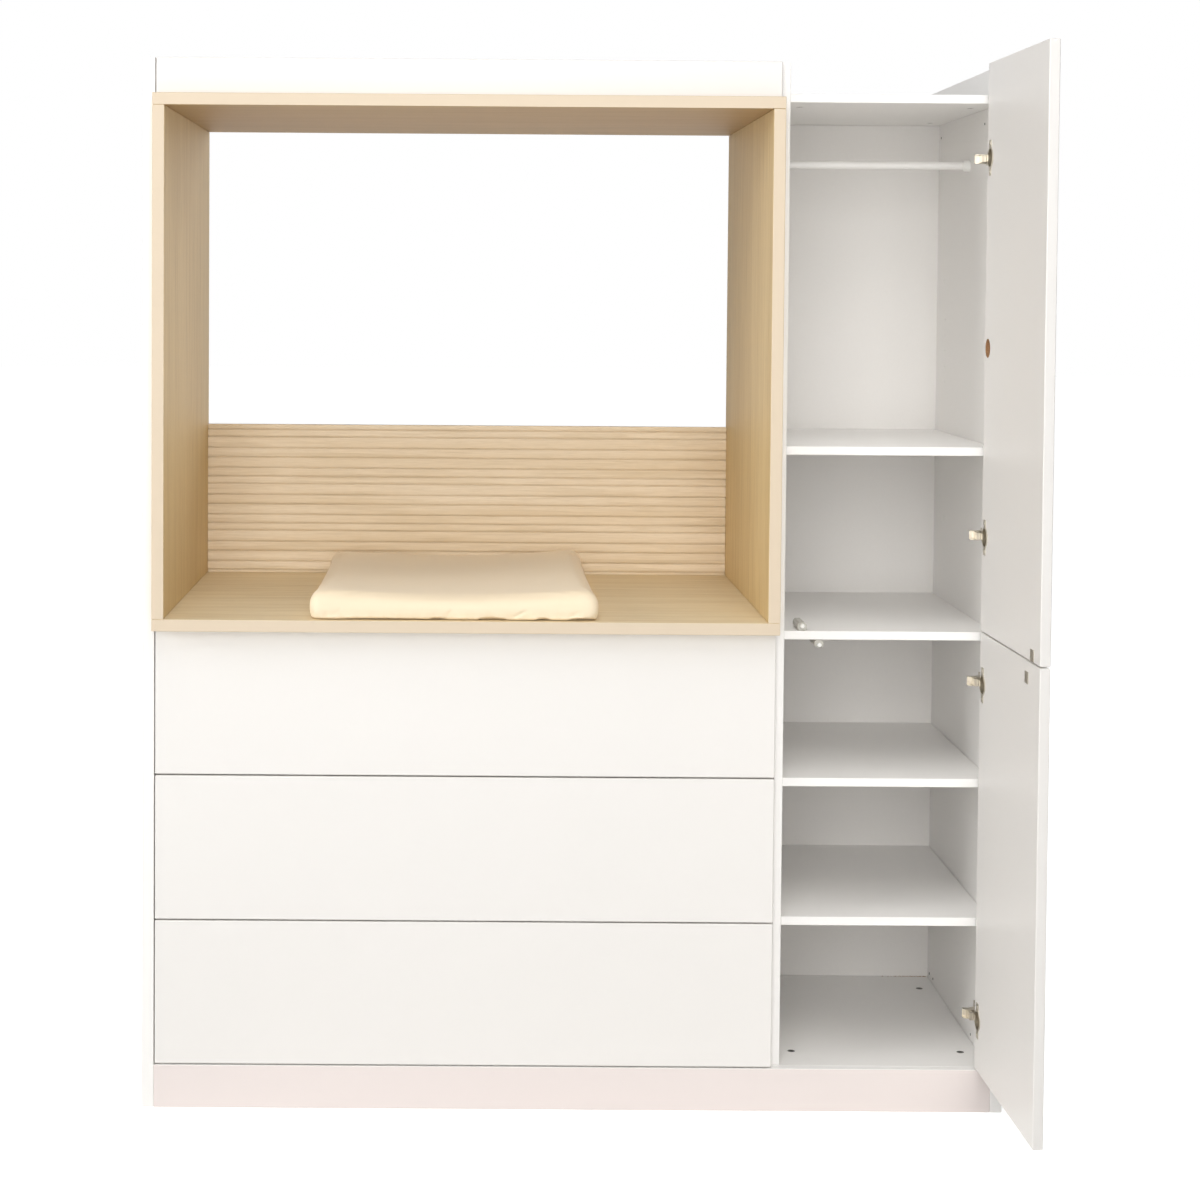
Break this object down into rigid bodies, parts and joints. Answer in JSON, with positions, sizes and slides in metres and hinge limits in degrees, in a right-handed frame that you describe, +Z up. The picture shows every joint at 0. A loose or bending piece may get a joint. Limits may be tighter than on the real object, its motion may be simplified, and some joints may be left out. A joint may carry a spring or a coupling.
{
  "type": "changing dresser",
  "caption": "White cabinet with an oak-finish changing niche and pad over drawers, beside a wardrobe bay with doors, shelves and a clothes rail.",
  "frame": {"origin": "on the floor, at the middle of the front plinth's underside", "axes": "+Z up, +X to the right as seen from the front, +Y to the back"},
  "size_m": [1.604, 1.0612, 1.95],
  "materials": {
    "white_board": "white melamine-faced chipboard, satin",
    "white_front": "white melamine-faced chipboard front, satin",
    "oak_board": "light oak decor on chipboard, matt with a fine grain",
    "hardboard": "white-faced hardboard",
    "drawer_board": "white foil-wrapped drawer board",
    "coated_steel": "white powder-coated steel",
    "nickel": "nickel-plated pressed steel",
    "grey_plastic": "moulded, matt",
    "white_plastic": "moulded, satin",
    "cotton_jersey": "cream cotton jersey cover"
  },
  "bodies": {
    "carcass": {"left_side_panel": "white_board", "right_side_panel": "white_board", "divider_panel": "white_board", "plinth_front": "white_board", "bottom_board": "white_board", "plinth_rear": "white_board", "back_panel_drawers": "hardboard", "back_panel_wardrobe": "hardboard", "top_board_right": "white_board", "top_fascia": "white_front", "niche_floor": "oak_board", "niche_ceiling": "oak_board", "niche_left_wall": "oak_board", "niche_right_wall": "oak_board", "niche_slatted_panel": "oak_board", "shelf_1": "white_board", "shelf_2": "white_board", "shelf_3": "white_board", "shelf_4": "white_board", "clothes_rail": "coated_steel", "rail_socket_left": "white_plastic", "rail_socket_right": "white_plastic", "upper_latch_housing": "grey_plastic", "lower_latch_housing": "grey_plastic", "upper_door_top_hinge_arm": "nickel", "upper_door_bottom_hinge_arm": "nickel", "lower_door_top_hinge_arm": "nickel", "lower_door_bottom_hinge_arm": "nickel", "drawer_1_left_runner": "coated_steel", "drawer_1_right_runner": "coated_steel", "drawer_2_left_runner": "coated_steel", "drawer_2_right_runner": "coated_steel", "drawer_3_left_runner": "coated_steel", "drawer_3_right_runner": "coated_steel", "changing_pad": "cotton_jersey"},
    "upper_door": {"upper_door_panel": "white_front", "upper_door_strike_plate": "nickel", "upper_door_top_hinge_cup": "nickel", "upper_door_bottom_hinge_cup": "nickel"},
    "lower_door": {"lower_door_panel": "white_front", "lower_door_strike_plate": "nickel", "lower_door_top_hinge_cup": "nickel", "lower_door_bottom_hinge_cup": "nickel"},
    "drawer_1": {"drawer_1_front": "white_front", "drawer_1_left_side": "drawer_board", "drawer_1_right_side": "drawer_board", "drawer_1_back": "drawer_board", "drawer_1_bottom": "drawer_board"},
    "drawer_2": {"drawer_2_front": "white_front", "drawer_2_left_side": "drawer_board", "drawer_2_right_side": "drawer_board", "drawer_2_back": "drawer_board", "drawer_2_bottom": "drawer_board"},
    "drawer_3": {"drawer_3_front": "white_front", "drawer_3_left_side": "drawer_board", "drawer_3_right_side": "drawer_board", "drawer_3_back": "drawer_board", "drawer_3_bottom": "drawer_board"},
    "upper_latch": {"upper_latch_plunger": "white_plastic"},
    "lower_latch": {"lower_latch_plunger": "white_plastic"}
  },
  "joints": [
    {"name": "upper_door_hinge", "type": "hinge", "parent": "carcass", "child": "upper_door", "pos_m": [0.769, -0.009, 1.4], "axis": [0, 0, 1], "range_deg": [-91, 19]},
    {"name": "lower_door_hinge", "type": "hinge", "parent": "carcass", "child": "lower_door", "pos_m": [0.769, -0.009, 0.5], "axis": [0, 0, 1], "range_deg": [-91, 19]},
    {"name": "drawer_1_slide", "type": "slide", "parent": "carcass", "child": "drawer_1", "axis": [0, -1, 0], "range_m": [0, 0.38]},
    {"name": "drawer_2_slide", "type": "slide", "parent": "carcass", "child": "drawer_2", "axis": [0, -1, 0], "range_m": [0, 0.38]},
    {"name": "drawer_3_slide", "type": "slide", "parent": "carcass", "child": "drawer_3", "axis": [0, -1, 0], "range_m": [0, 0.38]},
    {"name": "upper_latch_push", "type": "slide", "parent": "carcass", "child": "upper_latch", "axis": [0, 1, 0], "range_m": [0, 0.004], "stiffness_N_per_m": 300},
    {"name": "lower_latch_push", "type": "slide", "parent": "carcass", "child": "lower_latch", "axis": [0, 1, 0], "range_m": [0, 0.004], "stiffness_N_per_m": 300}
  ]
}
